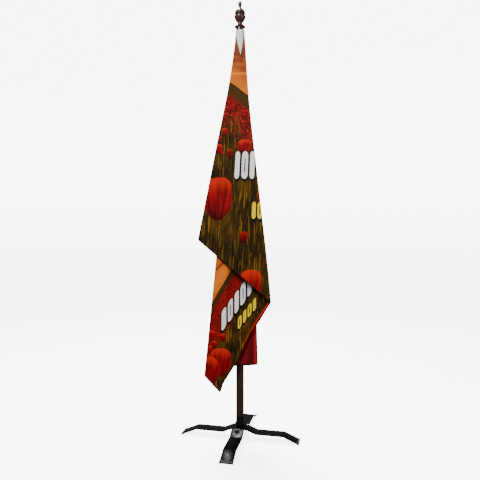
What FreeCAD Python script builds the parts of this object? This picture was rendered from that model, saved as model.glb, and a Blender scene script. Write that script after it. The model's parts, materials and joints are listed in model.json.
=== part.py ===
"""Indoor banner on a two-piece wooden pole, standing on a folding steel cross base.

The row frame is +Z up, in millimetres. The origin is on the floor, on the pole's axis. The lower leg bar
lies along X and the upper leg bar along Y. The banner hangs in front of the pole and faces a little
towards +X.
"""
import FreeCAD, Part
import Sketcher
import math
import os

Vector = FreeCAD.Vector
Rotation = FreeCAD.Rotation
Placement = FreeCAD.Placement

DRIVING = {
    # cross base
    "bar_width": 62.0,
    "bar_thick": 6.0,
    "lower_plateau_top": 54.0,
    "lower_plateau_half": 42.0,
    "lower_slope_end": 82.0,
    "lower_foot_start": 218.0,
    "lower_reach": 292.5,
    "upper_plateau_half": 50.0,
    "upper_slope_end": 90.0,
    "upper_foot_start": 214.0,
    "upper_reach": 286.0,
    "level_top": 37.0,
    "tip_top": 6.1,
    "cap_wall": 1.2,
    "cap_grip": 9.0,
    "bar_gap": 1.0,
    "upper_plateau_top": 61.0,
    # centre shaft, bearing and spindle
    "shaft_radius": 6.0,
    "shaft_top": 230.0,
    "running_gap": 0.1,
    "plain_washer_thick": 2.0,
    "hex_across": 19.0,
    "bolt_head_high": 7.5,
    "thin_nut_high": 6.0,
    "race_radius": 14.0,
    "race_thick": 2.5,
    "ball_radius": 1.9,
    "ball_ring_radius": 10.2,
    "ball_count": 12.0,
    "spindle_radius": 10.0,
    "spindle_top": 224.0,
    "ring_radius": 0.9,
    # leg stop bolt
    "stop_reach": 64.0,
    "stop_washer_radius": 14.0,
    "stop_head_radius": 11.0,
    "stop_shank_radius": 5.0,
    # pole
    "pole_radius": 19.0,
    "ferrule_radius": 19.4,
    "ferrule_seat_radius": 17.0,
    "pole_foot": 63.0,
    "pole_wood_start": 80.1,
    "bottom_ferrule_top": 110.0,
    "liner_outer": 12.0,
    "liner_inner": 10.6,
    "liner_top": 240.0,
    "joint_height": 1030.0,
    "joint_gap": 0.2,
    "joint_ferrule_length": 30.0,
    "joint_screw_radius": 6.0,
    "joint_screw_reach": 36.0,
    "pole_top": 2000.0,
    # finial
    "finial_height": 130.0,
    "stud_radius": 4.0,
    "stud_reach": 28.0,
    # banner
    "sleeve_inner": 21.4,
    "sleeve_outer": 22.2,
    "hoist": 914.0,
    "hoist_top": 1985.0,
    "cloth_thick": 1.2,
    "banner_turn": 12.4,
}

doc = FreeCAD.newDocument("banner_on_stand")
sheet = doc.addObject("Spreadsheet::Sheet", "sizes")
for row, (alias, value) in enumerate(DRIVING.items(), start=1):
    sheet.set(f"A{row}", alias)
    sheet.set(f"B{row}", str(value))
    sheet.setAlias(f"B{row}", alias)
doc.recompute()

nodes = []


def size(alias):
    """A driving dimension as the sheet holds it."""
    return float(sheet.get(alias))


def bound(thing, **properties):
    """Binds properties of an object to expressions of the sheet's cells."""
    for name, expression in properties.items():
        thing.setExpression(name.replace("__", "."), expression)
    return thing


def cell(expression):
    """The expression with the sheet's name in front of each alias."""
    words = sorted(DRIVING, key=len, reverse=True)
    marked = expression
    for place, word in enumerate(words):
        marked = marked.replace(word, f"@{place}@")
    for place, word in enumerate(words):
        marked = marked.replace(f"@{place}@", f"sizes.{word}")
    return marked


def number(expression):
    """The value of an expression of the sheet's aliases."""
    gauge.setExpression("reading", cell(expression))
    gauge.recompute()
    return float(gauge.reading)


gauge = doc.addObject("App::FeaturePython", "gauge")
gauge.addProperty("App::PropertyFloat", "reading")


def node(thing, label):
    """Names a finished sub-part, which becomes one file."""
    thing.Label = label
    nodes.append(thing)
    return thing


def new_name(stem):
    """A document name that isn't taken."""
    count = 1
    while doc.getObject(f"{stem}_{count}"):
        count += 1
    return f"{stem}_{count}"


def origin_plane(body, role):
    """One of a body's own origin planes or axes."""
    return next(f for f in body.Origin.OriginFeatures if f.Role == role)


def outline_sketch(body, corners, plane="XZ_Plane"):
    """A closed outline of straight runs. Each corner is two expressions, held by the sheet."""
    sketch = body.newObject("Sketcher::SketchObject", new_name("outline"))
    sketch.AttachmentSupport = [(origin_plane(body, plane), "")]
    sketch.MapMode = "FlatFace"
    places = [Vector(number(across), number(up), 0) for across, up in corners]
    count = len(corners)
    for i, place in enumerate(places):
        sketch.addGeometry(Part.LineSegment(place, places[(i + 1) % count]), False)
    for i in range(count):
        sketch.addConstraint(Sketcher.Constraint("Coincident", i, 2, (i + 1) % count, 1))
    for i, (across, up) in enumerate(corners):
        for kind, expression, axis in (("DistanceX", across, -2), ("DistanceY", up, -1)):
            if expression == "0":
                sketch.addConstraint(Sketcher.Constraint("PointOnObject", i, 1, axis))
                continue
            held = sketch.addConstraint(
                Sketcher.Constraint(kind, -1, 1, i, 1, number(expression))
            )
            sketch.setExpression(f"Constraints[{held}]", cell(expression))
    return sketch


def turned(label, corners):
    """A piece of revolution about Z, from (radius, height) corners."""
    body = doc.addObject("PartDesign::Body", new_name("turned"))
    sketch = outline_sketch(body, corners)
    spin = body.newObject("PartDesign::Revolution", new_name("spin"))
    spin.Profile = sketch
    spin.ReferenceAxis = (sketch, ["V_Axis"])
    spin.Angle = 360
    body.Tip = spin
    return node(body, label) if label else body


def ring(label, outer, inner, low, high):
    """A plain ring or tube about Z."""
    return turned(label, [(inner, low), (outer, low), (outer, high), (inner, high)])


def hexagon(label, across, low, high, bore=None):
    """A hexagonal nut or head about Z, with a round bore if it has one."""
    prism = doc.addObject("Part::Prism", new_name("hex"))
    prism.Polygon = 6
    bound(prism, Circumradius=cell(f"({across}) / sqrt(3)"), Height=cell(f"({high}) - ({low})"))
    bound(prism, Placement__Base__z=cell(low))
    if bore is None:
        return prism
    hole = cylinder(bore, low, high)
    return node(cut(prism, hole), label)


def cylinder(radius, low, high):
    """A plain cylinder about Z."""
    rod = doc.addObject("Part::Cylinder", new_name("rod"))
    bound(rod, Radius=cell(radius), Height=cell(f"({high}) - ({low})"))
    bound(rod, Placement__Base__z=cell(low))
    return rod


def cut(base, tool):
    """The base without the tool's space."""
    made = doc.addObject("Part::Cut", new_name("cut"))
    made.Base = base
    made.Tool = tool
    return made


def fuse(*pieces):
    """The pieces as one."""
    made = doc.addObject("Part::MultiFuse", new_name("fuse"))
    made.Shapes = list(pieces)
    return made


def banner_place():
    """The turn of the banner's own frame about the pole."""
    return Placement(Vector(0, 0, 0), Rotation(Vector(0, 0, 1), size("banner_turn")))


def fixed(label, shape, placement=None):
    """A piece whose shape is worked out here from the sheet's sizes."""
    made = doc.addObject("Part::Feature", new_name("shape"))
    made.Shape = shape
    if placement:
        made.Placement = placement
    return node(made, label) if label else made


# ---------------------------------------------------------------- cross base


def leg_bar(plateau_top, plateau_half, slope_end, foot_start, reach):
    """A whole flat bar bent four times, along X, with a hole for the centre shaft.

    The top line has a corner at each bend. The bottom line lies one thickness below it, measured square
    to each run, so each of its corners is set in by the tangent of half the bend.
    """
    slope = f"atan2({plateau_top} - level_top; {slope_end} - {plateau_half})"
    foot = f"atan2(level_top - tip_top; {reach} - {foot_start})"
    top = [
        ("0", plateau_top),
        (plateau_half, plateau_top),
        (slope_end, "level_top"),
        (foot_start, "level_top"),
        (reach, "tip_top"),
    ]
    bottom = [
        (f"{reach} - bar_thick * sin({foot})", f"tip_top - bar_thick * cos({foot})"),
        (f"{foot_start} - bar_thick * tan({foot} / 2)", "level_top - bar_thick"),
        (f"{slope_end} - bar_thick * tan({slope} / 2)", "level_top - bar_thick"),
        (f"{plateau_half} - bar_thick * tan({slope} / 2)", f"{plateau_top} - bar_thick"),
        ("0", f"{plateau_top} - bar_thick"),
    ]
    body = doc.addObject("PartDesign::Body", new_name("bar"))
    sketch = outline_sketch(body, top + bottom)
    pad = body.newObject("PartDesign::Pad", new_name("width"))
    pad.Profile = sketch
    pad.Midplane = True
    pad.setExpression("Length", "sizes.bar_width")
    doc.recompute()
    mirror = body.newObject("PartDesign::Mirrored", new_name("mirror"))
    mirror.Originals = [pad]
    mirror.MirrorPlane = (origin_plane(body, "YZ_Plane"), [""])
    body.Tip = mirror
    doc.recompute()
    hole = cylinder("shaft_radius + running_gap", "level_top", "lower_plateau_top + 20")
    return cut(body, hole)


def foot_pose(foot_start, reach):
    """The middle of the tip's end face, and the foot's slope in degrees."""
    slope = number(f"atan2(level_top - tip_top; {reach} - {foot_start})")
    down = Rotation(Vector(0, 1, 0), slope).multVec(Vector(0, 0, -size("bar_thick") / 2))
    return Vector(size(reach), 0, size("tip_top")) + down, slope


def foot_caps(label, bar, foot_start, reach, turn):
    """Two rubber caps, one on each tip, with a flat sole on the floor."""
    centre, slope = foot_pose(foot_start, reach)
    grip, wall = size("cap_grip"), size("cap_wall")
    caps = []
    for side in (0, 180):
        block = doc.addObject("Part::Box", new_name("cap"))
        bound(block, Length=cell("cap_grip + cap_wall"), Width=cell("bar_width + 2 * cap_wall"))
        bound(block, Height=cell("bar_thick + 2 * cap_wall"))
        spin = Rotation(Vector(0, 1, 0), slope)
        corner = centre + spin.multVec(
            Vector(-grip, -size("bar_width") / 2 - wall, -size("bar_thick") / 2 - wall)
        )
        about = Placement(Vector(0, 0, 0), Rotation(Vector(0, 0, 1), side + turn))
        block.Placement = about.multiply(Placement(corner, spin))
        caps.append(block)
    floor = doc.addObject("Part::Box", new_name("floor"))
    floor.Length = floor.Width = 1000
    floor.Height = 50
    floor.Placement = Placement(Vector(-500, -500, -50), Rotation())
    return node(cut(cut(fuse(*caps), floor), bar), label)


def cross_base():
    """The two leg bars, their caps and the bolt that stops the fold."""
    lower = leg_bar(
        "lower_plateau_top", "lower_plateau_half", "lower_slope_end", "lower_foot_start", "lower_reach"
    )
    node(lower, "lower_leg_bar")
    foot_caps("lower_foot_caps", lower, "lower_foot_start", "lower_reach", 0)

    upper = leg_bar(
        "upper_plateau_top", "upper_plateau_half", "upper_slope_end", "upper_foot_start", "upper_reach"
    )
    upper.Placement = Placement(Vector(0, 0, 0), Rotation(Vector(0, 0, 1), -90))

    upper_top = size("upper_plateau_top")
    half, end = size("upper_plateau_half"), size("upper_slope_end")
    drop = upper_top - size("level_top")
    slope = math.degrees(math.atan2(drop, end - half))
    seat = Vector(0, -size("stop_reach"), upper_top - (size("stop_reach") - half) * drop / (end - half))
    tilt = Placement(seat, Rotation(Vector(1, 0, 0), slope))
    thick = size("bar_thick")

    shank = size("stop_shank_radius")
    hole = fixed(None, Part.makeCylinder(shank + 0.2, 40, Vector(0, 0, -20)), tilt)
    drilled = node(cut(upper, hole), "upper_leg_bar")
    foot_caps("upper_foot_caps", drilled, "upper_foot_start", "upper_reach", -90)

    washer_high = 2.0
    washer = Part.makeCylinder(size("stop_washer_radius"), washer_high)
    washer = washer.cut(Part.makeCylinder(shank + 0.2, washer_high))
    washer = washer.makeFillet(0.6, [e for e in washer.Edges if abs(e.BoundBox.ZMin - washer_high) < 1e-6])
    fixed("stop_washer", washer, tilt)

    head_radius, head_high = size("stop_head_radius"), 5.5
    dome_radius = (head_radius**2 + head_high**2) / (2 * head_high)
    dome = Part.makeSphere(dome_radius, Vector(0, 0, washer_high + head_high - dome_radius))
    head = dome.common(Part.makeCylinder(head_radius, head_high, Vector(0, 0, washer_high)))
    nut_high, flange_radius, flange_high = 6.5, 12.5, 2.0
    stem = Part.makeCylinder(shank, washer_high + thick + nut_high + 1, Vector(0, 0, -thick - nut_high - 1))
    fixed("stop_bolt", head.fuse(stem).removeSplitter(), tilt)

    turns = [math.radians(60 * i) for i in range(7)]
    corners = [Vector(9.2 * math.cos(t), 9.2 * math.sin(t), -thick - nut_high) for t in turns]
    nut = Part.Face(Part.makePolygon(corners)).extrude(Vector(0, 0, nut_high))
    nut = nut.fuse(Part.makeCylinder(flange_radius, flange_high, Vector(0, 0, -thick - flange_high)))
    nut = nut.cut(Part.makeCylinder(shank + 0.05, nut_high, Vector(0, 0, -thick - nut_high)))
    fixed("stop_nut", nut.removeSplitter(), tilt)


# ---------------------------------------------------------------- shaft, bearing and spindle


def shaft_and_spindle():
    """The centre shaft that clamps the bars, the thrust bearing and the spindle that turns on it."""
    under = "lower_plateau_top - bar_thick"
    upper = "lower_plateau_top + bar_gap + bar_thick"
    washer = "plain_washer_thick"
    head_low = f"{under} - {washer} - bolt_head_high"
    head = hexagon(None, "hex_across", head_low, f"{under} - {washer}")
    ring_groove = "shaft_top - 4"
    stem = turned(
        None,
        [
            ("0", f"{under} - {washer} - 1"),
            ("shaft_radius", f"{under} - {washer} - 1"),
            ("shaft_radius", ring_groove),
            ("shaft_radius - 0.8", ring_groove),
            ("shaft_radius - 0.8", f"{ring_groove} + 1.1"),
            ("shaft_radius", f"{ring_groove} + 1.1"),
            ("shaft_radius", "shaft_top - 1"),
            ("shaft_radius - 1", "shaft_top"),
            ("0", "shaft_top"),
        ],
    )
    node(fuse(head, stem), "centre_shaft")
    bore = "shaft_radius + running_gap"
    ring("shaft_head_washer", "shaft_radius * 2", bore, f"{under} - {washer}", under)
    friction_top = "lower_plateau_top + bar_gap - 0.1"
    ring("friction_washer", "bar_width / 2 - 4", bore, "lower_plateau_top", friction_top)
    ring("clamp_washer", "shaft_radius * 2", bore, f"{upper} + 0.1", f"{upper} + {washer} - 0.4")
    nut_low = f"{upper} + {washer} - 0.4"
    nut_high = f"{nut_low} + thin_nut_high"
    hexagon("clamp_nut", "hex_across", nut_low, nut_high, "shaft_radius")

    race_top = f"{nut_high} + race_thick"
    ring("bearing_lower_race", "race_radius", bore, nut_high, race_top)
    balls = []
    count = int(size("ball_count"))
    centre_height = number(f"{race_top} + ball_radius")
    for i in range(count):
        angle = 2 * math.pi * i / count
        spot = Vector(
            size("ball_ring_radius") * math.cos(angle),
            size("ball_ring_radius") * math.sin(angle),
            centre_height,
        )
        balls.append(Part.makeSphere(size("ball_radius"), spot))
    fixed("bearing_balls", Part.makeCompound(balls))
    cage = Part.makeCylinder(size("race_radius") - 0.8, 1.6, Vector(0, 0, centre_height - 0.8))
    cage = cage.cut(Part.makeCylinder(size("shaft_radius") + 0.8, 1.6, Vector(0, 0, centre_height - 0.8)))
    for ball in balls:
        foot = ball.BoundBox.Center - Vector(0, 0, 2)
        pocket = Part.makeCylinder(size("ball_radius") + 0.15, 4, foot)
        cage = cage.cut(pocket)
    fixed("bearing_cage", cage)
    upper_race_low = f"{race_top} + 2 * ball_radius + 0.2"
    upper_race_high = f"{upper_race_low} + race_thick"
    ring("bearing_upper_race", "race_radius", "shaft_radius + 0.4", upper_race_low, upper_race_high)

    ring_heights = ["pole_wood_start + 46", "spindle_top - 14"]
    groove = "spindle_radius - 1.35"
    corners = [
        (bore, upper_race_high),
        ("race_radius", upper_race_high),
        ("race_radius", f"{upper_race_high} + 2.4"),
        ("spindle_radius", f"{upper_race_high} + 2.4"),
    ]
    for height in ring_heights:
        corners += [
            ("spindle_radius", f"{height} - 1"),
            (groove, f"{height} - 1"),
            (groove, f"{height} + 1"),
            ("spindle_radius", f"{height} + 1"),
        ]
    corners += [
        ("spindle_radius", "spindle_top - 1.5"),
        ("spindle_radius - 1.5", "spindle_top"),
        (bore, "spindle_top"),
    ]
    turned("spindle_tube", corners)
    rings = [
        Part.makeTorus(size("spindle_radius") - 0.42, size("ring_radius"), Vector(0, 0, number(height)))
        for height in ring_heights
    ]
    fixed("spindle_o_rings", Part.makeCompound(rings))
    ring("spindle_top_washer", "spindle_radius - 1.6", bore, "spindle_top + 0.3", f"{ring_groove} - 0.1")
    clip = "shaft_radius - 0.75"
    ring("retaining_ring", "shaft_radius + 2.2", clip, ring_groove, f"{ring_groove} + 1")


# ---------------------------------------------------------------- pole


def lower_section():
    """The lower half of the pole with its steel foot and the brass socket at its top."""
    seat = "ferrule_seat_radius"
    socket_low = "joint_height - joint_ferrule_length"
    insert_radius = "joint_screw_radius + 3"
    insert_low = "joint_height - joint_screw_reach - 8"
    wood = turned(
        None,
        [
            ("liner_outer", "pole_wood_start"),
            (seat, "pole_wood_start"),
            (seat, "bottom_ferrule_top"),
            ("pole_radius", "bottom_ferrule_top"),
            ("pole_radius", socket_low),
            (seat, socket_low),
            (seat, "joint_height"),
            (insert_radius, "joint_height"),
            (insert_radius, insert_low),
            ("0", insert_low),
            ("0", "liner_top + 5"),
            ("liner_outer", "liner_top + 5"),
        ],
    )
    ferrule = turned(
        None,
        [
            (seat, "pole_foot"),
            ("ferrule_radius - 0.8", "pole_foot"),
            ("ferrule_radius", "pole_foot + 0.8"),
            ("ferrule_radius", "bottom_ferrule_top - 0.8"),
            ("ferrule_radius - 0.4", "bottom_ferrule_top"),
            (seat, "bottom_ferrule_top"),
        ],
    )
    screw_height = number("pole_wood_start + 13")
    drills, screws = [], []
    for angle in (60, 240):
        place = Placement(Vector(0, 0, screw_height), Rotation(Vector(0, 0, 1), angle))
        along = Vector(1, 0, 0)
        reach = size("ferrule_radius")
        shank = Part.makeCylinder(1.5, reach - 14.2, Vector(14, 0, 0), along)
        head = Part.makeCone(1.5, 3.2, 1.7, Vector(reach - 1.9, 0, 0), along)
        screw = shank.fuse(head).removeSplitter()
        screw.Placement = place
        screws.append(screw)
        drills.append(screw)
    tools = fixed(None, Part.makeCompound(drills))
    node(cut(wood, tools), "lower_pole")
    node(cut(ferrule, tools), "bottom_ferrule")
    fixed("ferrule_screws", Part.makeCompound(screws))
    ring("spindle_liner", "liner_outer", "liner_inner", "pole_wood_start", "liner_top")
    ring("lower_joint_ferrule", "ferrule_radius", seat, socket_low, "joint_height")
    turned(
        "joint_insert",
        [
            ("0", insert_low),
            (insert_radius, insert_low),
            (insert_radius, "joint_height"),
            ("joint_screw_radius + 0.15", "joint_height"),
            ("joint_screw_radius + 0.15", f"{insert_low} + 3"),
            ("0", f"{insert_low} + 3"),
        ],
    )


def upper_section():
    """The upper half of the pole, its joint screw, the finial's insert and the tab that holds the sleeve."""
    seat = "ferrule_seat_radius"
    foot = "joint_height + joint_gap"
    ferrule_top = f"{foot} + joint_ferrule_length"
    screw_top = f"{foot} + 44"
    insert_radius = "stud_radius + 3"
    insert_low = "pole_top - stud_reach - 8"
    wood = turned(
        None,
        [
            ("joint_screw_radius", foot),
            (seat, foot),
            (seat, ferrule_top),
            ("pole_radius", ferrule_top),
            ("pole_radius", "pole_top"),
            (insert_radius, "pole_top"),
            (insert_radius, insert_low),
            ("0", insert_low),
            ("0", screw_top),
            ("joint_screw_radius", screw_top),
        ],
    )
    ring("upper_joint_ferrule", "ferrule_radius", seat, foot, ferrule_top)
    screw = cylinder("joint_screw_radius", "joint_height - joint_screw_reach", screw_top)
    node(screw, "joint_screw")
    turned(
        "finial_insert",
        [
            ("0", insert_low),
            (insert_radius, insert_low),
            (insert_radius, "pole_top - 0.5"),
            ("stud_radius + 0.15", "pole_top - 0.5"),
            ("stud_radius + 0.15", f"{insert_low} + 3"),
            ("0", f"{insert_low} + 3"),
        ],
    )

    tab_inner, tab_outer = size("pole_radius") + 0.1, size("pole_radius") + 1.3
    tab_top, tab_length = size("hoist_top") - 12, 70
    shell = Part.makeCylinder(tab_outer, tab_length, Vector(0, 0, tab_top - tab_length))
    shell = shell.cut(Part.makeCylinder(tab_inner, tab_length, Vector(0, 0, tab_top - tab_length)))
    strip = Part.makeBox(24, 30, tab_length, Vector(-12, 0, tab_top - tab_length))
    tab = shell.common(strip)
    drills, screws = [], []
    for height in (tab_top - 12, tab_top - tab_length + 12):
        shank = Part.makeCylinder(1.4, 13, Vector(0, tab_outer - 13, height), Vector(0, 1, 0))
        head = Part.makeCylinder(3.2, 0.7, Vector(0, tab_outer, height), Vector(0, 1, 0))
        drills.append(shank)
        screws.append(shank.fuse(head).removeSplitter())
    tools = fixed(None, Part.makeCompound(drills))
    about = banner_place()
    tools.Placement = about
    node(cut(wood, tools), "upper_pole")
    fixed("sleeve_tab", tab.cut(Part.makeCompound(drills)), about)
    fixed("tab_screws", Part.makeCompound(screws), about)


# ---------------------------------------------------------------- finial


def finial():
    """A turned urn with a bead on top, on a steel stud."""
    top = size("finial_height")
    # (radius, height above the pole's top) at the ends and the middle of each round stretch
    stretches = [
        [(18.0, 0.8), (23.4, 1.4), (26.5, 4.2)],
        [(26.5, 4.2), (25.2, 7.2), (21.0, 9.8)],
        [(21.0, 9.8), (14.4, 13.6), (11.5, 19.5)],
        [(11.5, 19.5), (12.2, 24.4), (15.4, 29.4)],
        [(15.4, 29.4), (22.6, 38.6), (26.4, 50.0)],
        [(26.4, 50.0), (26.3, 57.4), (21.2, 64.4)],
        [(21.2, 64.4), (21.4, 66.2), (22.8, 67.4)],
        [(22.8, 67.4), (25.6, 69.2), (25.4, 72.4)],
        [(25.4, 72.4), (18.8, 86.4), (9.4, 94.0)],
        [(9.4, 94.0), (7.2, 98.0), (6.4, 103.0)],
        [(6.4, 103.0), (6.8, 104.8), (7.8, 106.6)],
        [(7.8, 106.6), (9.9, 116.4), (7.6, 125.0)],
    ]
    crown_radius, crown_height = 7.6, 125.0
    rise = top - crown_height
    ball_radius = (crown_radius**2 + rise**2) / (2 * rise)
    half = math.acos(1 - rise / ball_radius) / 2
    middle = (ball_radius * math.sin(half), top - ball_radius + ball_radius * math.cos(half))
    stretches.append([(crown_radius, crown_height), middle, (0.0, top)])
    edges = [Part.Arc(*[Vector(r, 0, h) for r, h in run]).toShape() for run in stretches]
    stud = size("stud_radius")
    stud_depth = 30.0
    bore = [(0, top), (0, stud_depth), (stud, stud_depth), (stud, 0.8), (18.0, 0.8)]
    edges += [
        Part.LineSegment(Vector(a[0], 0, a[1]), Vector(b[0], 0, b[1])).toShape()
        for a, b in zip(bore, bore[1:])
    ]
    face = Part.Face(Part.Wire(edges))
    body = face.revolve(Vector(0, 0, 0), Vector(0, 0, 1), 360)
    if body.Volume < 0:
        body.reverse()
    raised = Placement(Vector(0, 0, size("pole_top")), Rotation())
    fixed("finial_body", body, raised)
    node(cylinder("stud_radius", "pole_top - stud_reach", f"pole_top + {stud_depth}"), "finial_stud")
    ring("finial_washer", "pole_radius - 2", "stud_radius + 0.2", "pole_top + 0.1", "pole_top + 0.8")


# ---------------------------------------------------------------- banner


def banner():
    """The white pole sleeve, and the printed cloth as thin flat panels folded back and forth."""
    ring("pole_sleeve", "sleeve_outer", "sleeve_inner", "hoist_top - hoist", "hoist_top")

    # Places in the banner's own frame, before it is turned: -Y is the front.
    top = size("hoist_top") - 10
    hem = size("hoist_top") - size("hoist") + 10
    sleeve_high, sleeve_low = Vector(-16, 18.5, top), Vector(-16, 18.5, hem)
    side_wrap = [Vector(-27, 0, top), Vector(-18, -22, top)]
    gather = Vector(0, -31, top)
    rear_right = Vector(60, 72, 1062)
    rear_left = Vector(-101, 88, 1022)
    left_fold = Vector(-202, -44, 974)
    right_fold = Vector(144.5, -118, 682)
    fly_fold = Vector(-171, -58, 324.5)
    tail_right = Vector(86, -40, 372)
    tail_left = Vector(-68, -34.5, 440)
    tail_middle = Vector(48, -31, 488)
    fly_corner = Vector(-29, -27.5, 536)

    def in_plane(a, b, c, x, z):
        """The point of the plane through a, b and c at this x and z."""
        normal = (b - a).cross(c - a)
        return Vector(x, a.y - (normal.x * (x - a.x) + normal.z * (z - a.z)) / normal.y, z)

    low_corner = in_plane(gather, right_fold, fly_fold, -94, 247)
    panels = [
        [sleeve_high, sleeve_low, rear_right],
        [sleeve_high, rear_right, rear_left],
        [sleeve_high, rear_left, left_fold],
        [sleeve_high, side_wrap[0], left_fold],
        [side_wrap[0], side_wrap[1], left_fold],
        [side_wrap[1], gather, left_fold],
        [gather, left_fold, right_fold],
        [gather, right_fold, low_corner, fly_fold],
        [gather, fly_fold, tail_right],
        [gather, tail_right, tail_left],
        [gather, tail_left, tail_middle],
        [gather, tail_middle, fly_corner],
    ]
    thick = size("cloth_thick")
    solids = []
    for corners in panels:
        normal = (corners[1] - corners[0]).cross(corners[2] - corners[0]).normalize()
        face = Part.Face(Part.makePolygon(corners + [corners[0]]))
        face.translate(normal * (-thick / 2))
        solids.append(face.extrude(normal * thick))
    cloth = solids[0].multiFuse(solids[1:]).removeSplitter()
    fixed("flag_cloth", cloth, banner_place())


cross_base()
shaft_and_spindle()
lower_section()
upper_section()
finial()
banner()
doc.recompute()

for thing in doc.Objects:
    if "Invalid" in thing.State or "Error" in thing.State:
        raise RuntimeError(f"{thing.Label} did not recompute: {thing.State}")

os.makedirs("parts", exist_ok=True)
for stale in os.listdir("parts"):
    os.remove(os.path.join("parts", stale))
for thing in nodes:
    shape = thing.Shape
    if shape.isNull() or not shape.isValid() or not shape.Solids:
        raise RuntimeError(f"{thing.Label} has no valid solid")
    shape.exportStep(os.path.join("parts", f"{thing.Label}.step"))
    box = shape.BoundBox
    print(
        f"{thing.Label:22s} solids {len(shape.Solids)} volume {shape.Volume:11.1f}"
        f" z {box.ZMin:8.2f} to {box.ZMax:8.2f}"
    )
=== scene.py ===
"""Looks of the indoor banner on its stand: printed cloth, white sleeve, dark wood and baked black paint."""

import json
import math

import bmesh
import bpy
import numpy as np
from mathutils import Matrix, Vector


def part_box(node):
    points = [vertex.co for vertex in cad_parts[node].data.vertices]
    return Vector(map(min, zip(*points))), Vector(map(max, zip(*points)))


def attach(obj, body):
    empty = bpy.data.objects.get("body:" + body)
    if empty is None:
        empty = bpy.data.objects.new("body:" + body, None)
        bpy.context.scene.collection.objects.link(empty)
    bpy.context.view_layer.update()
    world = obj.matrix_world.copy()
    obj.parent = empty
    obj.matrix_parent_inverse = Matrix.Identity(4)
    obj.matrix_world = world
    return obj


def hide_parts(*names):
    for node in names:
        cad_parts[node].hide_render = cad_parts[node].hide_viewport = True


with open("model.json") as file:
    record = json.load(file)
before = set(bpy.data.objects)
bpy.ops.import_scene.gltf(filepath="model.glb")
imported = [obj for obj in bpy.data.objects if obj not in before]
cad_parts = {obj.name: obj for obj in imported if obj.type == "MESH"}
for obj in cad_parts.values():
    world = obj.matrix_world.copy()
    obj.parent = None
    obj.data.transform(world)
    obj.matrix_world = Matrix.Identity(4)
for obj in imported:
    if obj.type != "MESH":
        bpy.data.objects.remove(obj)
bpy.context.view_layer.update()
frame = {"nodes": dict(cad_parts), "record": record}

BANNER_TURN = math.radians(12.4)
HOIST_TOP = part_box("pole_sleeve")[1][2]
HOIST_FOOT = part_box("pole_sleeve")[0][2]
SLEEVE_RADIUS = round(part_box("pole_sleeve")[1][0], 4)
SLEEVE_GAP_MM = 1.4
CLOTH_THICK = 0.0007
HEM_STITCHES_UP_MM = 7.7
BAR_EDGE_ROUND = 0.0011
MM = 1000

# radians of weave in each metre of cloth
WEAVE = 5200.0


# ---------------------------------------------------------------- materials


class Field:
    """A value of a material that can be used in sums: each sum adds a math node."""

    def __init__(self, paint, socket):
        self.paint = paint
        self.socket = socket

    def sum(self, operation, *others, clamp=False):
        made = self.paint.nodes.new("ShaderNodeMath")
        made.operation = operation
        made.use_clamp = clamp
        for socket, value in zip(made.inputs, (self, *others)):
            self.paint.feed(socket, value)
        return Field(self.paint, made.outputs[0])

    def __add__(self, other):
        return self.sum("ADD", other)

    def __sub__(self, other):
        return self.sum("SUBTRACT", other)

    def __mul__(self, other):
        return self.sum("MULTIPLY", other)

    def __truediv__(self, other):
        return self.sum("DIVIDE", other)

    def __neg__(self):
        return self.sum("MULTIPLY", -1.0)

    def rise(self, low, high):
        """0 below low, 1 above high, and a smooth step between."""
        made = self.paint.nodes.new("ShaderNodeMapRange")
        made.interpolation_type = "SMOOTHSTEP"
        for name, value in (("Value", self), ("From Min", low), ("From Max", high)):
            self.paint.feed(made.inputs[name], value)
        return Field(self.paint, made.outputs["Result"])

    def fall(self, low, high):
        """1 below low, 0 above high, and a smooth step between."""
        return self.rise(low, high).sum("SUBTRACT", 1.0).sum("MULTIPLY", -1.0)


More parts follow.
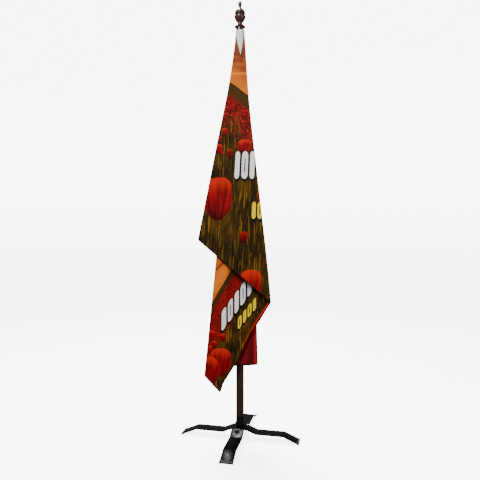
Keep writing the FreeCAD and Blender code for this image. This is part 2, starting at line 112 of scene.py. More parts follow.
class Paint:
    """A material made of nodes around one Principled shader."""

    def __init__(self, name):
        self.material = bpy.data.materials.new(name)
        self.material.use_nodes = True
        self.nodes = self.material.node_tree.nodes
        self.links = self.material.node_tree.links
        self.shader = next(n for n in self.nodes if n.type == "BSDF_PRINCIPLED")

    def feed(self, socket, value):
        """Sets an input, or links a field or a colour to it."""
        if isinstance(value, Field):
            value = value.socket
        if isinstance(value, bpy.types.NodeSocket):
            self.links.new(value, socket)
        elif isinstance(value, tuple) and len(value) == 3 and socket.type == "RGBA":
            socket.default_value = (*value, 1.0)
        else:
            socket.default_value = value

    def set(self, **inputs):
        """Feeds the shader's inputs; an underscore stands for a space."""
        for name, value in inputs.items():
            self.feed(self.shader.inputs[name.replace("_", " ")], value)
        return self

    def place(self):
        """The surface's own place in the row frame."""
        return self.nodes.new("ShaderNodeTexCoord").outputs["Object"]

    def uv(self, name):
        """Two fields: across and down the piece's own map."""
        source = self.nodes.new("ShaderNodeUVMap")
        source.uv_map = name
        split = self.nodes.new("ShaderNodeSeparateXYZ")
        self.links.new(source.outputs["UV"], split.inputs[0])
        return Field(self, split.outputs["X"]), Field(self, split.outputs["Y"])

    def axes(self):
        """Three fields: x, y and z in the row frame."""
        split = self.nodes.new("ShaderNodeSeparateXYZ")
        self.links.new(self.place(), split.inputs[0])
        return [Field(self, split.outputs[axis]) for axis in "XYZ"]

    def at(self, x, y, z=0.0):
        """A place made of three fields."""
        made = self.nodes.new("ShaderNodeCombineXYZ")
        for socket, value in zip(made.inputs, (x, y, z)):
            self.feed(socket, value)
        return made.outputs[0]

    def noise(self, place, scale, detail=3.0, roughness=0.55, distortion=0.0):
        made = self.nodes.new("ShaderNodeTexNoise")
        values = {"Vector": place, "Scale": scale, "Detail": detail, "Roughness": roughness}
        for name, value in {**values, "Distortion": distortion}.items():
            self.feed(made.inputs[name], value)
        return Field(self, made.outputs["Fac"])

    def cells(self, place, scale, randomness=1.0):
        """The distance to the nearest cell's middle, and a random number for the cell."""
        made = self.nodes.new("ShaderNodeTexVoronoi")
        for name, value in {"Vector": place, "Scale": scale, "Randomness": randomness}.items():
            self.feed(made.inputs[name], value)
        split = self.nodes.new("ShaderNodeSeparateColor")
        self.links.new(made.outputs["Color"], split.inputs[0])
        return Field(self, made.outputs["Distance"]), Field(self, split.outputs[0])

    def mix(self, share, first, second):
        """The first colour, turning into the second as the share goes to 1."""
        made = self.nodes.new("ShaderNodeMix")
        made.data_type = "RGBA"
        made.clamp_factor = True
        self.feed(made.inputs["Factor"], share)
        colours = [s for s in made.inputs if s.type == "RGBA"]
        self.feed(colours[0], first)
        self.feed(colours[1], second)
        return next(s for s in made.outputs if s.type == "RGBA")

    def bump(self, height, depth, strength=1.0):
        """Turns a height field into dents that many metres deep."""
        made = self.nodes.new("ShaderNodeBump")
        values = {"Height": height, "Distance": depth, "Strength": strength}
        for name, value in values.items():
            self.feed(made.inputs[name], value)
        self.links.new(made.outputs["Normal"], self.shader.inputs["Normal"])
        return self


def plain(name, colour, roughness, metallic=0.0, grain=180.0, contrast=0.12, dent=0.0, **extra):
    """A surface of one colour, with faint cloudy changes of tone and gloss."""
    paint = Paint(name)
    cloud = paint.noise(paint.place(), grain, 4.0)
    darker = tuple(c * (1 - contrast) for c in colour)
    lighter = tuple(min(1.0, c * (1 + contrast)) for c in colour)
    paint.set(
        Base_Color=paint.mix(cloud, darker, lighter),
        Roughness=cloud * (roughness * 0.3) + roughness * 0.85,
        Metallic=metallic,
        **extra,
    )
    if dent:
        paint.bump(cloud, dent)
    return paint.material


def stained_wood(name, dark, light, gloss, coat, dent):
    """Wood with a long grain under a stain and a coat of varnish."""
    paint = Paint(name)
    x, y, z = paint.axes()
    grain = paint.noise(paint.at(x * 260.0, y * 260.0, z * 7.0), 1.0, 5.0, 0.6, 0.6)
    pores = paint.noise(paint.at(x * 1400.0, y * 1400.0, z * 30.0), 1.0, 2.0)
    figure = paint.noise(paint.at(x * 40.0, y * 40.0, z * 1.6), 1.0, 2.0)
    tone = paint.mix(grain.rise(0.35, 0.68) * 0.75 + figure * 0.35, dark, light)
    pits = pores.rise(0.62, 0.72)
    paint.set(
        Base_Color=paint.mix(pits * 0.6, tone, tuple(c * 0.3 for c in dark)),
        Roughness=grain * 0.12 + gloss,
        Coat_Weight=coat,
        Coat_Roughness=0.12,
        IOR=1.5,
    )
    paint.bump(grain - pits * 0.6, dent)
    return paint.material


def baked_paint(name, colour):
    """Black paint baked on steel: satin, with a fine orange-peel skin."""
    paint = Paint(name)
    peel = paint.noise(paint.place(), 900.0, 2.0)
    smudge = paint.noise(paint.place(), 25.0, 3.0)
    paint.set(
        Base_Color=paint.mix(smudge, colour, tuple(c * 1.7 for c in colour)),
        Roughness=smudge * 0.10 + 0.20,
        Specular_IOR_Level=0.06,
    )
    paint.bump(peel, 0.000012)
    return paint.material


SKY_ORANGE = (0.66, 0.130, 0.010)
SKY_GOLD = (0.95, 0.225, 0.012)
CLOUD_MAUVE = (0.15, 0.036, 0.018)
HILL_BROWN = (0.040, 0.017, 0.003)
FIELD_RED = (0.26, 0.0055, 0.0065)
FIELD_DARK = (0.022, 0.005, 0.002)
GRASS_DARK = (0.010, 0.006, 0.0015)
GRASS_OLIVE = (0.070, 0.036, 0.004)
STEM_OCHRE = (0.40, 0.165, 0.012)
POPPY_RED = (0.32, 0.0045, 0.0085)
POPPY_ORANGE = (0.66, 0.022, 0.005)
POPPY_DEEP = (0.038, 0.0008, 0.001)
LINING_RED = (0.200, 0.007, 0.011)
# near black: a dark band along the foot hem, and painted shade along the front panel's top edge beside the
# sleeve
HEM_DARK_AND_EDGE_SHADE = (0.012, 0.006, 0.004)
SPECK_RED = (0.52, 0.010, 0.016)
LETTER_WHITE = (0.93, 0.93, 0.92)
LETTER_YELLOW = (0.90, 0.62, 0.012)

# each poppy: its middle across and down the print, its half width and half height in metres, its shade, and
# how much lower it sits for each metre to its left, which sets it upright on the hanging cloth
POPPIES = [
    (-0.072, 0.429, 0.016, 0.017, 0.30, 0.48),
    (-0.104, 0.475, 0.016, 0.017, 0.80, 0.48),
    (-0.103, 0.510, 0.024, 0.021, 0.15, 0.48),
    (-0.038, 0.496, 0.018, 0.020, 0.85, 0.48),
    (0.052, 0.425, 0.047, 0.028, 0.10, 0.50),
    (0.160, 0.572, 0.012, 0.036, 0.70, 0.53),
    (-0.096, 0.697, 0.087, 0.086, 0.22, 0.49),
    (0.075, 0.757, 0.025, 0.023, 0.75, 0.50),
    (0.131, 0.924, 0.069, 0.078, 0.05, 0.52),
    (0.800, 0.655, 0.085, 0.085, -0.55, 1.28),
    (0.872, 0.610, 0.060, 0.085, -0.45, 1.28),
    (0.863, 0.412, 0.028, 0.024, -0.20, 1.28),
    (0.787, 0.526, 0.030, 0.024, -0.10, 1.28),
    (0.894, 0.460, 0.032, 0.026, -0.30, 1.28),
    (0.848, 0.489, 0.026, 0.022, 0.10, 1.28),
    (0.520, 0.790, 0.110, 0.026, 0.00, 0.00),
]
# each row of bars: its left and right ends, top and bottom, the width of one bar's place, and its climb
WHITE_ROWS = [
    (-0.0105, 0.1305, 0.469, 0.574, 0.047, 0.494),
    (0.555, 0.7975, 0.608, 0.728, 0.0485, 0.30),
]
YELLOW_ROWS = [
    (0.108, 0.184, 0.660, 0.724, 0.038, 0.494),
    (0.522, 0.672, 0.832, 0.902, 0.0375, 0.39),
]
BAR_SHADOW = (0.004, 0.004, 0.004)
BAR_BLUR = 0.0009


def poppy(paint, under, across, down, spot):
    """One open poppy over the colour under it."""
    middle_across, middle_down, half_width, half_height, shade, lean = spot
    x = (across - middle_across) / half_width
    y = (down - middle_down) / half_height + x * (lean * half_width / half_height)
    ruffle = paint.noise(paint.at(across, down), 1.1 / half_width, 2.0) - 0.5
    y_bent = y + x * x * 0.18
    reach = x.sum("POWER", 2.0) + y_bent.sum("ABSOLUTE").sum("POWER", 2.6)
    petal = (reach + ruffle * 0.5).fall(0.88, 0.95)
    spread = x / (y.sum("MULTIPLY", -0.62) + 1.45)
    veins = paint.noise(paint.at(spread * 3.2, y * 0.35), 1.6, 3.0)
    body = paint.mix(veins.rise(0.42, 0.62), POPPY_RED, tuple(c * 0.40 for c in POPPY_RED))
    lit = paint.mix((y + veins * 0.5 - 0.25).fall(-0.95, -0.1) * 0.9, body, POPPY_ORANGE)
    crease = (x + veins * 0.5 - 0.25).sum("ABSOLUTE").fall(0.02, 0.10) * y.rise(-0.5, 0.4)
    base = (y + veins * 0.7 - 0.35).rise(0.15, 1.0).sum("MAXIMUM", crease * 0.8)
    full = paint.mix(base * 0.92 + shade * 0.55, lit, POPPY_DEEP)
    return paint.mix(petal, under, full)


def bar_row(paint, under, across, down, row, colour):
    """A row of rounded upright bars with a dark edge to the lower right, where a message would be printed."""
    left, right, top, bottom, pitch, climb = row
    height = bottom - top
    level = down + across * climb - (top + bottom) / 2
    count = (across - left) / pitch
    index = count.sum("FLOOR")
    chance = ((index * 12.9898).sum("SINE") * 43758.5453).sum("FRACT")
    along = count - index - 0.5
    wide = chance * 0.10 + 0.32
    inside = (across - left).rise(0.0, 0.0005) * (across - right).fall(-0.0005, 0.0)

    def bar(shift_across, shift_down, grow):
        x = (along - shift_across / pitch).sum("ABSOLUTE") * pitch
        y = (level - shift_down).sum("ABSOLUTE")
        y_core = (y - (wide * (-pitch) + height / 2)).sum("MAXIMUM", 0.0)
        distance = (x * x + y_core * y_core).sum("SQRT")
        return (distance - wide * pitch - grow).fall(-BAR_BLUR, BAR_BLUR) * inside

    slot_x = (along.sum("ABSOLUTE") * pitch - 0.0035).fall(-BAR_BLUR, BAR_BLUR)
    slot = slot_x * level.sum("ABSOLUTE").fall(height * 0.26, height * 0.27) * chance.rise(0.45, 0.46)
    shadow = paint.mix(bar(0.0035, 0.006, 0.0045), under, BAR_SHADOW)
    return paint.mix(bar(0.0, 0.0, 0.0) - slot, shadow, colour)


def evening_sky(paint, across, down):
    """Orange sky with long mauve streaks of cloud."""
    drift = paint.noise(paint.at(across * 1.8, down * 14.0 + across * 7.0), 1.0, 4.0, 0.6, 0.7)
    wisps = paint.noise(paint.at(across * 6.0, down * 52.0 + across * 15.0), 1.0, 3.0)
    glow = paint.mix(down.rise(0.04, 0.24), SKY_ORANGE, SKY_GOLD)
    streaks = (drift + wisps * 0.30).rise(0.52, 0.68) * (down.fall(0.12, 0.20) * 0.45 + 0.45)
    return paint.mix(streaks, glow, CLOUD_MAUVE)


def poppy_field(paint, across, down):
    """A red carpet of far poppies that gives way to dark grass with fine ochre stems."""
    far = (down - 0.262).sum("MAXIMUM", 0.004)
    ground_across = across / (far + 0.05)
    ground = paint.at(ground_across * 2.6, far.sum("LOGARITHM", 2.718) * 4.2)
    spot, chance = paint.cells(ground, 2.7)
    mottle = paint.noise(ground, 1.6, 4.0)
    speck, speck_chance = paint.cells(paint.at(across * 80.0, down * 115.0), 1.0)

    strand = paint.noise(paint.at(across * 120.0, down * 9.0), 1.0, 4.0, 0.62, 0.9)
    blade = paint.noise(paint.at(across * 240.0, down * 14.0), 1.0, 2.0, 0.5, 0.6)
    patch = paint.noise(paint.at(across * 6.0, down * 5.0), 1.0, 3.0)
    grass = paint.mix(patch.rise(0.42, 0.66), GRASS_DARK, GRASS_OLIVE)
    grass = paint.mix(blade.rise(0.46, 0.62) * 0.7, grass, GRASS_OLIVE)
    grass = paint.mix(strand.rise(0.57, 0.64) * (patch * 0.9 + 0.25), grass, STEM_OCHRE)

    carpet = paint.mix(mottle.rise(0.35, 0.62), FIELD_DARK, FIELD_RED)
    carpet = paint.mix(speck.fall(0.30, 0.45) * speck_chance.rise(0.36, 0.42), carpet, SPECK_RED)
    inner_half = across.rise(0.60, 0.74) * 0.15
    thinning = (down + patch * 0.14 + mottle * 0.10 - inner_half).rise(0.43, 0.56)
    field = paint.mix(thinning, carpet, grass)
    heads = spot.fall(0.24, 0.32) * (chance + down * 1.5).fall(0.92, 0.97)
    return paint.mix(heads, field, paint.mix(chance, POPPY_RED, FIELD_RED)), mottle


def printed_cloth():
    """A poppy field under an evening sky, printed on both sides of light polyester."""
    paint = Paint("printed_cloth")
    across, down = paint.uv("print")
    sky = evening_sky(paint, across, down)
    field, mottle = poppy_field(paint, across, down)

    skyline = paint.noise(paint.at(across * 3.0, 0.0), 1.0, 2.0) * 0.016
    hills = paint.mix(mottle, HILL_BROWN, tuple(c * 1.8 for c in HILL_BROWN))
    scene = paint.mix((down - skyline).rise(0.217, 0.219), sky, hills)
    scene = paint.mix((down - skyline + mottle * 0.02).rise(0.272, 0.290), scene, field)
    for spot in POPPIES:
        scene = poppy(paint, scene, across, down, spot)
    for row in WHITE_ROWS:
        scene = bar_row(paint, scene, across, down, row, LETTER_WHITE)
    for row in YELLOW_ROWS:
        scene = bar_row(paint, scene, across, down, row, LETTER_YELLOW)

    # the inner panels are plain red, darkened in streaks of painted shade
    shade = paint.noise(paint.at(across * 22.0, down * 3.0), 1.0, 3.0)
    lining = paint.mix(shade.rise(0.3, 0.7), LINING_RED, tuple(c * 0.45 for c in LINING_RED))
    # beyond 1.39 across, a painted highlight makes the red twice as bright
    lining = paint.mix(across.rise(1.385, 1.395), lining, tuple(c * 2.0 for c in LINING_RED))
    scene = paint.mix(across.rise(1.04, 1.06), scene, lining)

    edge = paint.uv("edge")[0]
    # darkens a band along the foot hem, and paints shade along the front panel's top edge beside the sleeve
    scene = paint.mix(edge.fall(0.0055, 0.0065) * 0.8, scene, HEM_DARK_AND_EDGE_SHADE)
    weave_across = (paint.uv("weave")[0] * WEAVE).sum("SINE")
    weave_down = (paint.uv("weave")[1] * WEAVE).sum("SINE")
    paint.set(Base_Color=scene, Roughness=0.72, Specular_IOR_Level=0.08)
    paint.bump(weave_across * weave_down, 0.00004)
    return paint.material


def white_cloth():
    """White polyester with a fine weave."""
    paint = Paint("white_cloth")
    x, _, z = paint.axes()
    cloud = paint.noise(paint.place(), 60.0, 3.0)
    paint.set(
        Base_Color=paint.mix(cloud, (0.80, 0.80, 0.82), (0.90, 0.90, 0.91)),
        Roughness=0.75,
        Sheen_Weight=0.2,
    )
    paint.bump((z * WEAVE).sum("SINE") * (x * WEAVE).sum("SINE"), 0.00005)
    return paint.material


WOOD_DARK, WOOD_LIGHT = (0.012, 0.0038, 0.0025), (0.050, 0.013, 0.007)
FINIAL_DARK, FINIAL_LIGHT = (0.018, 0.0055, 0.004), (0.085, 0.020, 0.012)

PAINTS = {
    "leg_paint": baked_paint("leg_paint", (0.0016, 0.0014, 0.0014)),
    "cap_rubber": plain("cap_rubber", (0.014, 0.014, 0.015), 0.7, dent=0.0001),
    "zinc_steel": plain("zinc_steel", (0.48, 0.48, 0.50), 0.36, 1.0, grain=90.0),
    "nylon": plain("nylon", (0.72, 0.71, 0.66), 0.5),
    "black_steel": baked_paint("black_steel", (0.009, 0.008, 0.008)),
    "pole_wood": stained_wood("pole_wood", WOOD_DARK, WOOD_LIGHT, gloss=0.34, coat=0.15, dent=0.00006),
    "finial_wood": stained_wood(
        "finial_wood", FINIAL_DARK, FINIAL_LIGHT, gloss=0.30, coat=0.35, dent=0.00002
    ),
    "brass": plain("brass", (0.70, 0.47, 0.17), 0.3, 1.0, grain=60.0),
    "white_cloth": white_cloth(),
    "printed_cloth": printed_cloth(),
    "tab_leather": plain("tab_leather", (0.12, 0.055, 0.025), 0.6, grain=400.0, dent=0.0002),
}


def paint_frame():
    """Gives each piece of the frame the paint of its material slot."""
    slots = {entry["node"]: entry["material_slot"] for entry in frame["record"]["subparts"]}
    for name, node in frame["nodes"].items():
        node.data.materials.clear()
        node.data.materials.append(PAINTS[slots[name]])


# ---------------------------------------------------------------- meshes


def shown(name, data):
    """An object of that data, linked to the scene."""
    made = bpy.data.objects.new(name, data)
    bpy.context.scene.collection.objects.link(made)
    return made


def mesh_object(name, places, faces, paint, maps=()):
    """A mesh at the origin. Each map is a name and one pair of numbers for each corner of each face."""
    mesh = bpy.data.meshes.new(name)
    mesh.from_pydata([tuple(p) for p in places], [], [tuple(f) for f in faces])
    for map_name, pairs in maps:
        layer = mesh.uv_layers.new(name=map_name)
        layer.data.foreach_set("uv", np.asarray(pairs, dtype=np.float32).ravel())
    mesh.materials.append(PAINTS[paint])
    mesh.polygons.foreach_set("use_smooth", [True] * len(mesh.polygons))
    return shown(name, mesh)


def faces_of_grid(columns, rows):
    """The faces of a grid of columns by rows of points, one column after the other."""
    first = (np.arange(columns - 1)[:, None] * rows + np.arange(rows - 1)[None, :]).ravel()
    return np.stack([first, first + 1, first + rows + 1, first + rows], axis=1)


def softened(node, body, width):
    """The node's own shape with its sharp edges rounded, in the node's place."""
    shape = bmesh.new()
    shape.from_mesh(frame["nodes"][node].data)
    bmesh.ops.remove_doubles(shape, verts=shape.verts, dist=1e-6)
    bmesh.ops.dissolve_limit(shape, angle_limit=math.radians(0.5), verts=shape.verts, edges=shape.edges)
    sharp = [e for e in shape.edges if len(e.link_faces) == 2 and e.calc_face_angle() > math.radians(12)]
    bmesh.ops.bevel(
        shape, geom=sharp, offset=width, segments=3, profile=0.5, affect="EDGES", clamp_overlap=True
    )
    mesh = bpy.data.meshes.new(node + "_soft")
    shape.to_mesh(mesh)
    shape.free()
    mesh.materials.clear()
    slot = next(e["material_slot"] for e in frame["record"]["subparts"] if e["node"] == node)
    mesh.materials.append(PAINTS[slot])
    mesh.polygons.foreach_set("use_smooth", [True] * len(mesh.polygons))
    made = shown(node + "_soft", mesh)
    mesh.set_sharp_from_angle(angle=math.radians(35))
    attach(made, body)
    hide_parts(node)
    return made


# ---------------------------------------------------------------- the hanging cloth

# Each fold line of the cloth: its places from the top down in millimetres, in the banner's own frame
# (x to the right, y away from the viewer).
FOLDS = {
    "hoist": [(-14, 17, 1983), (-14, 18, 1080)],
    "rear_right": [(5, 24.5, 1981), (25, 44, 1665), (60, 72, 1062)],
    "rear_left": [(-21.4, 10, 1946), (-44, 44, 1665), (-101, 88, 1022)],
    "left_fold": [(-19.3, -13, 1957), (-53, -24, 1723), (-107, -32, 1454), (-202, -44, 974)],
    "front": [(2.4, -26.5, 1856), (0, -36, 1644), (-7, -54, 1331), (-26, -84, 826)],
    "right_fold": [
        (22, -12, 1971), (30, -24, 1838), (43, -44, 1642), (76, -74, 1329), (103, -92, 1092),
        (131, -110, 835), (144.5, -118, 682),
    ],
    "back_1": [(14, -23, 1880), (57, -44, 1330), (90, -72, 583)],
    "back_2": [(10, -23.5, 1838), (33, -42, 1259), (46, -62, 516)],
    "back_3": [(4.8, -23.8, 1818), (0, -50, 1164), (-19, -72, 385)],
    "back_4": [(1, -24, 1809), (-38, -50, 1069), (-79, -66, 290)],
    "corner": [(0, -24, 1804), (-48, -50, 1069), (-94.4, -66, 245)],
    "back_left": [
        (-17, -18.5, 1790), (-77, -42, 1261), (-129.5, -50, 734), (-151, -54, 518), (-171, -58, 324.5),
    ],
    "inner_1": [(2.4, -24.5, 1790), (-19, -44, 1070), (-24, -47, 366)],
    "inner_right": [(21.6, -24.5, 1742), (48, -42, 1165), (80, -42, 588), (86, -40, 372)],
    "inner_2": [(0, -24, 1695), (-38, -34, 1070), (-68, -33, 440)],
    "inner_3": [(14, -24, 1599), (34, -30, 1070), (48, -28, 488)],
    "fly_top": [(-10, -24, 1503), (-19, -26, 973), (-29, -25, 536)],
}
APEX = (0.0, -20.0, 1985.0)
# Each panel runs between two folds: the lines it passes, its number of columns, on which side of each end
# fold it lies (-1 nearer the viewer, 1 behind, 0 neither), its soft waves as (how many, depth in
# millimetres, start), and how the print lies on it.
PANELS = [
    (["hoist", "rear_right"], 16, (0, -1), [(0.8, 5, 0.3)], "rear"),
    (["rear_right", "rear_left"], 22, (1, 0), [(1.4, 7, 1.0)], "rear"),
    (["rear_left", "left_fold"], 20, (0, 1), [(1.0, 6, 2.0)], "rear"),
    (["left_fold", "front", "right_fold"], 64, (-1, -1), [(1.15, 6.0, 0.2), (2.6, 1.8, 1.3)], "front"),
    (
        ["right_fold", "back_1", "back_2", "back_3", "back_4", "corner", "back_left"],
        64, (1, -1), [(1.6, 6.0, 1.1), (3.1, 2.6, 0.4)], "back",
    ),
    (["back_left", "inner_1", "inner_right"], 30, (1, -1), [(1.9, 3.0, 0.5)], "inner"),
    (["inner_right", "inner_2"], 14, (1, -1), [(1.2, 1.5, 0.0)], "inner"),
    (["inner_2", "inner_3"], 12, (1, -1), [(1.2, 1.0, 0.8)], "inner"),
    (["inner_3", "fly_top"], 12, (1, 0), [(0.8, 1.0, 0.0)], "inner"),
]
ROWS = 190
FOLD_ROUND = 8.0
# the print round the apex: for each kind of panel, the degrees between its first fold and its last
PRINT_TURNS = {"rear": (0.0, 28.0), "front": (28.0, 47.0)}
PRINT_SHEAR = 0.767
REAR_PANELS = sum(panel[-1] == "rear" for panel in PANELS)


def line_through(points, rows):
    """A smooth line through points, as an array of places evenly spaced in height."""
    points = np.asarray(points, float)
    heights = points[:, 2]
    z = np.linspace(heights[0], heights[-1], rows)
    slopes = np.gradient(points[:, :2], heights, axis=0) if len(points) > 2 else None
    if slopes is None:
        run = np.stack([np.interp(-z, -heights, points[:, i]) for i in (0, 1)], axis=1)
        return np.column_stack([run, z])
    span = np.clip(np.searchsorted(-heights, -z) - 1, 0, len(points) - 2)
    step = (heights[span + 1] - heights[span])[:, None]
    t = ((z - heights[span])[:, None]) / step
    start, end = points[span, :2], points[span + 1, :2]
    run = (
        (2 * t**3 - 3 * t**2 + 1) * start
        + (t**3 - 2 * t**2 + t) * step * slopes[span]
        + (3 * t**2 - 2 * t**3) * end
        + (t**3 - t**2) * step * slopes[span + 1]
    )
    return np.column_stack([run, z])


def panel_places(lines, columns, sides, waves):
    """The places of one panel, columns by rows, with rounded folds at its two ends."""
    gaps = [np.linalg.norm(b - a, axis=1).mean() for a, b in zip(lines, lines[1:])]
    marks = np.concatenate([[0.0], np.cumsum(gaps)]) / sum(gaps)
    growth = np.clip(np.linspace(0.0, 1.0, ROWS) * 1.6, 0.12, 1.0)
    width = np.linalg.norm(lines[-1] - lines[0], axis=1) + 1.0
    radius = np.minimum(FOLD_ROUND * growth, width * 0.2)
    share = np.linspace(0.0, 1.0, columns)[:, None]
    before, after = share * width, (1 - share) * width
    rounded = [np.sqrt(d**2 + radius**2) - radius for d in (before, after)]
    across = rounded[0] / (rounded[0] + rounded[1])
    places = np.zeros((columns, ROWS, 3))
    for a, b, low, high in zip(lines, lines[1:], marks, marks[1:]):
        part = np.clip((across - low) / (high - low), 0.0, 1.0)[..., None]
        inside = ((across >= low) & (across <= high))[..., None]
        places = np.where(inside, a * (1 - part) + b * part, places)
    ease = share**2 * (3 - 2 * share)
    depth = sides[0] * np.tanh(before / radius) * (1 - ease) + sides[1] * np.tanh(after / radius) * ease
    places[..., 1] += depth * radius
    window = np.sin(np.pi * share) ** 0.8
    for count, deep, start in waves:
        ripple = np.sin(2 * np.pi * count * share + start + 0.5 * np.linspace(0, 1, ROWS))
        places[..., 1] += deep * ripple * window * growth**1.5
    return places


def keep_off_sleeve(places):
    """Moves what would touch the sleeve or the pole out to just clear of it."""
    reach = np.hypot(places[..., 0], places[..., 1])
    least = SLEEVE_RADIUS * MM + SLEEVE_GAP_MM
    push = np.maximum(1.0, least / np.maximum(reach, 1e-6))
    places[..., :2] *= push[..., None]
    return places


def print_place(places, panel, share):
    """Where each place lies on the print, across and down in metres."""
    if panel in PRINT_TURNS:
        low, high = PRINT_TURNS[panel]
        turn = np.radians(low + (high - low) * share)
        reach = np.linalg.norm(places - np.array(APEX), axis=-1) / MM
        return reach * (np.sin(turn) - PRINT_SHEAR * np.cos(turn)), reach * np.cos(turn)
    x, z = places[..., 0] / MM, places[..., 2] / MM
    if panel == "back":
        return 0.651 - 1.596 * x, 1.323 + 2.075 * x - 1.216 * z
    return 1.33 + 0.9 * x, 0.62 + 0.5 * (0.5 - z)


def panel_grid(names, columns, sides, waves):
    """The places of a panel between the named folds, clear of the sleeve."""
    lines = [line_through(FOLDS[name], ROWS) for name in names]
    return keep_off_sleeve(panel_places(lines, columns, sides, waves))


def walked(grid, axis):
    """How far each place lies from the start of its column (axis 1) or row (axis 0), in metres of cloth."""
    steps = np.linalg.norm(np.diff(grid, axis=axis), axis=2)
    before = [(0, 0), (0, 0)]
    before[axis] = (1, 0)
    return np.pad(np.cumsum(steps, axis=axis), before) / MM


def cloth_grid():
    """The whole cloth: its places in metres, its faces, and its maps of the print, the weave and the edge."""
    places, faces, prints, weaves, edges = [], [], [], [], []
    start = 0
    cloth_before = 0.0
    rear_share = 0.0
    for names, columns, sides, waves, kind in PANELS:
        grid = panel_grid(names, columns, sides, waves)
        share = np.linspace(0.0, 1.0, columns)[:, None]
        if kind == "rear":
            share = (rear_share + share) / REAR_PANELS
            rear_share += 1
        across, down = print_place(grid, kind, share)
        above, side = walked(grid, 1), walked(grid, 0)
        below = above[:, -1:] - above
        # how far each place lies from an edge, for the dark band; on the front panel the top edge counts
        # wider, for painted shade beside the sleeve
        border = np.minimum(below * 0.75, above * (0.45 if kind == "front" else 9.0) + 0.002)
        if names[-1] == "fly_top":
            border = np.minimum(border, side[-1:] - side)

        shared = 1 if start else 0
        quads = faces_of_grid(columns, ROWS)
        index = (np.arange(columns * ROWS) + start - shared * ROWS).reshape(columns, ROWS)
        faces.append(index.ravel()[quads])
        corners = quads.ravel()
        prints.append(np.column_stack([across.ravel()[corners], down.ravel()[corners]]))
        weaves.append(np.column_stack([side.ravel()[corners] + cloth_before, above.ravel()[corners]]))
        edges.append(np.column_stack([border.ravel()[corners], border.ravel()[corners]]))
        places.append(grid[shared:].reshape(-1, 3))
        start += (columns - shared) * ROWS
        cloth_before += side[-1].mean()
    maps = [
        ("print", np.concatenate(prints)),
        ("weave", np.concatenate(weaves)),
        ("edge", np.concatenate(edges)),
    ]
    return np.concatenate(places) / MM, np.concatenate(faces), maps


def turned(places):
    """Places of the banner's own frame, in the row frame."""
    cos, sin = math.cos(BANNER_TURN), math.sin(BANNER_TURN)
    x, y, z = np.asarray(places, float).T
    return np.column_stack([x * cos - y * sin, x * sin + y * cos, z])


def stitch_group():
    """A node group that lays short stitches along a line of edges."""
    group = bpy.data.node_groups.new("stitches", "GeometryNodeTree")
    face = group.interface
    face.new_socket("Line", in_out="INPUT", socket_type="NodeSocketGeometry")
    for name, default in (("Spacing", 0.005), ("Stitch Length", 0.0032), ("Thread Radius", 0.0006)):
        face.new_socket(name, in_out="INPUT", socket_type="NodeSocketFloat").default_value = default
    face.new_socket("Thread", in_out="INPUT", socket_type="NodeSocketMaterial")
    face.new_socket("Stitches", in_out="OUTPUT", socket_type="NodeSocketGeometry")
    made = {
        name: group.nodes.new(kind)
        for name, kind in (
            ("given", "NodeGroupInput"),
            ("curve", "GeometryNodeMeshToCurve"),
            ("spaced", "GeometryNodeResampleCurve"),
            ("tangent", "GeometryNodeInputTangent"),
            ("turn", "FunctionNodeAlignRotationToVector"),
            ("stitch", "GeometryNodeMeshCylinder"),
            ("lay", "GeometryNodeInstanceOnPoints"),
            ("real", "GeometryNodeRealizeInstances"),
            ("paint", "GeometryNodeSetMaterial"),
            ("result", "NodeGroupOutput"),
        )
    }
    made["spaced"].mode = "LENGTH"
    made["turn"].axis = "Z"
    made["stitch"].inputs["Vertices"].default_value = 8
    links = (
        ("given", "Line", "curve", "Mesh"),
        ("curve", "Curve", "spaced", "Curve"),
        ("given", "Spacing", "spaced", "Length"),
        ("tangent", "Tangent", "turn", "Vector"),
        ("given", "Thread Radius", "stitch", "Radius"),
        ("given", "Stitch Length", "stitch", "Depth"),
        ("spaced", "Curve", "lay", "Points"),
        ("stitch", "Mesh", "lay", "Instance"),
        ("turn", "Rotation", "lay", "Rotation"),
        ("lay", "Instances", "real", "Geometry"),
        ("real", "Geometry", "paint", "Geometry"),
        ("given", "Thread", "paint", "Material"),
        ("paint", "Geometry", "result", "Stitches"),
    )
    for source, output, target, entry in links:
        group.links.new(made[source].outputs[output], made[target].inputs[entry])
    return group


def stitch_row(name, path, paint, closed=False, **sizes):
    """A row of stitches along a path in the row frame, as a plain mesh that rides the upper pole."""
    count = len(path)
    steps = [(i, (i + 1) % count) for i in range(count if closed else count - 1)]
    line = bpy.data.meshes.new(name + "_line")
    line.from_pydata([tuple(p) for p in path], steps, [])
    guide = shown(name + "_line", line)
    sewing = guide.modifiers.new("stitches", "NODES")
    sewing.node_group = STITCHES
    values = {"Thread": PAINTS[paint], **sizes}
    for item in STITCHES.interface.items_tree:
        if item.in_out == "INPUT" and item.name in values:
            sewing[item.identifier] = values[item.name]
    bpy.context.view_layer.update()
    graph = bpy.context.evaluated_depsgraph_get()
    mesh = bpy.data.meshes.new_from_object(guide.evaluated_get(graph), depsgraph=graph)
    bpy.data.objects.remove(guide)
    mesh.name = name
    for layer in [uv.name for uv in mesh.uv_layers]:
        mesh.uv_layers.remove(mesh.uv_layers[layer])
    blank = np.zeros(2 * len(mesh.loops), np.float32)
    for map_name in ("print", "weave", "edge") if paint == "printed_cloth" else ():
        mesh.uv_layers.new(name=map_name).data.foreach_set("uv", blank)
    mesh.materials.clear()
    mesh.materials.append(PAINTS[paint])
    made = shown(name, mesh)
    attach(made, "upper_pole")
    return made


SLEEVE_SKIN = 0.0215
SLEEVE_STITCH_REACH = 0.0219
SLEEVE_HEM = 0.0130
SLEEVE_STITCHES_IN = 0.010


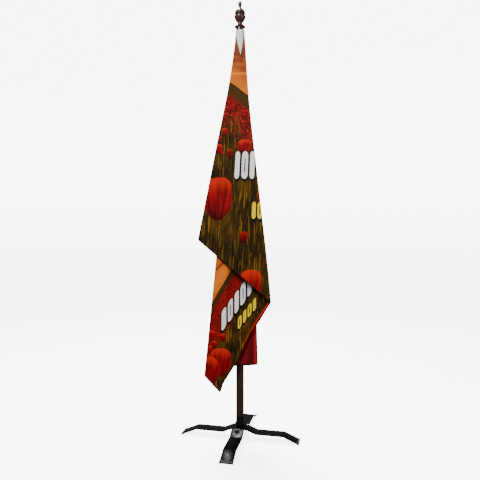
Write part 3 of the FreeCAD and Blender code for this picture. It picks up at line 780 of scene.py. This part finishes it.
def make_sleeve():
    """The white pole sleeve: a hemmed tube of cloth with shallow wrinkles, and its rows of stitches."""
    columns, rows = 72, 300
    turn = np.linspace(0, 2 * np.pi, columns, endpoint=False)[:, None]
    height = np.linspace(HOIST_FOOT, HOIST_TOP, rows)[None, :]
    near_end = np.minimum(height - HOIST_FOOT, HOIST_TOP - height)
    hem = 0.00035 * np.clip((SLEEVE_HEM - near_end) / 0.0015, 0.0, 1.0)
    slack = 0.00022 * np.sin(5 * turn + 9 * height) + 0.00020 * np.sin(3 * turn - 31 * height)
    pulled = 0.00018 * np.sin(11 * turn + 4 * height) * np.exp(-near_end / 0.05)
    reach = SLEEVE_SKIN + hem + slack + pulled
    places = np.stack([reach * np.cos(turn), reach * np.sin(turn), height + 0 * turn], axis=-1)
    first = np.arange(columns)[:, None] * rows + np.arange(rows - 1)[None, :]
    after = (first + rows) % (columns * rows)
    faces = np.stack([first, after, after + 1, first + 1], axis=-1).reshape(-1, 4)
    sleeve = mesh_object("sleeve_cloth", turned(places.reshape(-1, 3)), faces, "white_cloth")
    skin = sleeve.modifiers.new("thickness", "SOLIDIFY")
    skin.thickness = 0.0008
    skin.offset = -1.0
    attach(sleeve, "upper_pole")
    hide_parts("pole_sleeve")
    around = np.linspace(0, 2 * np.pi, 96, endpoint=False)
    for name, level in (
        ("sleeve_top_stitches", HOIST_TOP - SLEEVE_STITCHES_IN),
        ("sleeve_foot_stitches", HOIST_FOOT + SLEEVE_STITCHES_IN),
    ):
        ring = [SLEEVE_STITCH_REACH * np.cos(around), SLEEVE_STITCH_REACH * np.sin(around)]
        circle = np.column_stack([*ring, around * 0 + level])
        stitch_row(name, turned(circle), "white_cloth", closed=True)
    return sleeve


def make_hem_stitches():
    """A row of stitches in the hem along the foot of each panel of the cloth."""
    for number, (*folds_and_waves, _) in enumerate(PANELS, 1):
        grid = panel_grid(*folds_and_waves)
        rise = grid[:, -2] - grid[:, -1]
        path = grid[:, -1] + rise / np.linalg.norm(rise, axis=1, keepdims=True) * HEM_STITCHES_UP_MM
        stitch_row(f"hem_stitches_{number}", turned(path / MM), "printed_cloth")


def make_cloth():
    """The printed cloth, with two faces and a rim."""
    places, faces, maps = cloth_grid()
    cloth = mesh_object("banner_cloth", turned(places), faces, "printed_cloth", maps)
    skin = cloth.modifiers.new("thickness", "SOLIDIFY")
    skin.thickness = CLOTH_THICK
    skin.offset = 0.0
    skin.use_even_offset = False
    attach(cloth, "upper_pole")
    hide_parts("flag_cloth")
    return cloth


# ---------------------------------------------------------------- the stage

FLOOR_GLOW = 5.0
AIR_LIGHT = 0.20
FLOOR_FLAT, FLOOR_CURVE, WALL_HIGH = 4.2, 2.2, 9.0
FLOOR_SIDES = 96
LIGHTS_AIM = Vector((0.0, 0.0, 0.9))
# each lamp: its name, its place in the banner's own frame, its width and its power
LAMPS = [
    ("overhead_light", (-0.4, 1.3, 4.8), 1.4, 820.0),
    ("key_light", (-1.4, -2.6, 3.4), 0.9, 150.0),
    ("fill_light", (2.8, -2.6, 1.8), 2.4, 34.0),
]


def make_stage():
    """A pale floor that curves up into a wall all round, and soft studio light, most of it from above."""
    glow = Paint("studio_floor")
    height = glow.axes()[2]
    glow.set(
        Base_Color=glow.mix(glow.noise(glow.place(), 3.0), (0.90, 0.90, 0.90), (0.93, 0.93, 0.93)),
        Roughness=0.9,
        Specular_IOR_Level=0.1,
        Emission_Color=(1.0, 1.0, 1.0),
        Emission_Strength=height.rise(0.0, 2.0) * 2.6 + FLOOR_GLOW,
    )
    PAINTS["studio_floor"] = glow.material
    bend = np.linspace(0.0, math.pi / 2, 12)
    reach = np.concatenate([[0.0], FLOOR_FLAT + FLOOR_CURVE * np.sin(bend), [FLOOR_FLAT + FLOOR_CURVE]])
    level = np.concatenate([[0.0], FLOOR_CURVE - FLOOR_CURVE * np.cos(bend), [WALL_HIGH]])
    turn = np.linspace(0.0, 2 * np.pi, FLOOR_SIDES + 1)[:, None]
    places = np.stack([reach * np.cos(turn), reach * np.sin(turn), level + 0 * turn], axis=-1)
    inward = faces_of_grid(FLOOR_SIDES + 1, len(reach))[:, ::-1]
    floor = mesh_object("studio_floor", places.reshape(-1, 3), inward, "studio_floor")
    floor.visible_diffuse = False
    floor.visible_glossy = False
    floor.visible_shadow = False
    world = bpy.data.worlds.new("studio_air")
    bpy.context.scene.world = world
    world.use_nodes = True
    air = world.node_tree.nodes["Background"]
    air.inputs["Color"].default_value = (1.0, 1.0, 1.0, 1.0)
    air.inputs["Strength"].default_value = AIR_LIGHT
    for name, place, width, power in LAMPS:
        light = bpy.data.lights.new(name, "AREA")
        light.size = width
        light.energy = power
        lamp = shown(name, light)
        lamp.location = turned([place])[0]
        aim = LIGHTS_AIM - lamp.location
        lamp.rotation_euler = aim.to_track_quat("-Z", "Y").to_euler()


CAMERA_PLACE = (0.0, -2.4, 1.023)
CAMERA_DIP = 1.2
SENSOR_MM, LENS_MM = 36.0, 36.825


def make_camera():
    """A camera at chest height, straight in front of the banner and tipped a little down."""
    lens = bpy.data.cameras.new("camera")
    lens.sensor_width = SENSOR_MM
    lens.lens = LENS_MM
    camera = shown("camera", lens)
    camera.location = turned([CAMERA_PLACE])[0]
    camera.rotation_euler = (math.radians(90.0 - CAMERA_DIP), 0.0, BANNER_TURN)
    bpy.context.scene.camera = camera


paint_frame()
STITCHES = stitch_group()
softened("lower_leg_bar", "base", BAR_EDGE_ROUND)
softened("upper_leg_bar", "upper_bar", BAR_EDGE_ROUND)
make_sleeve()
make_cloth()
make_hem_stitches()
make_stage()
make_camera()
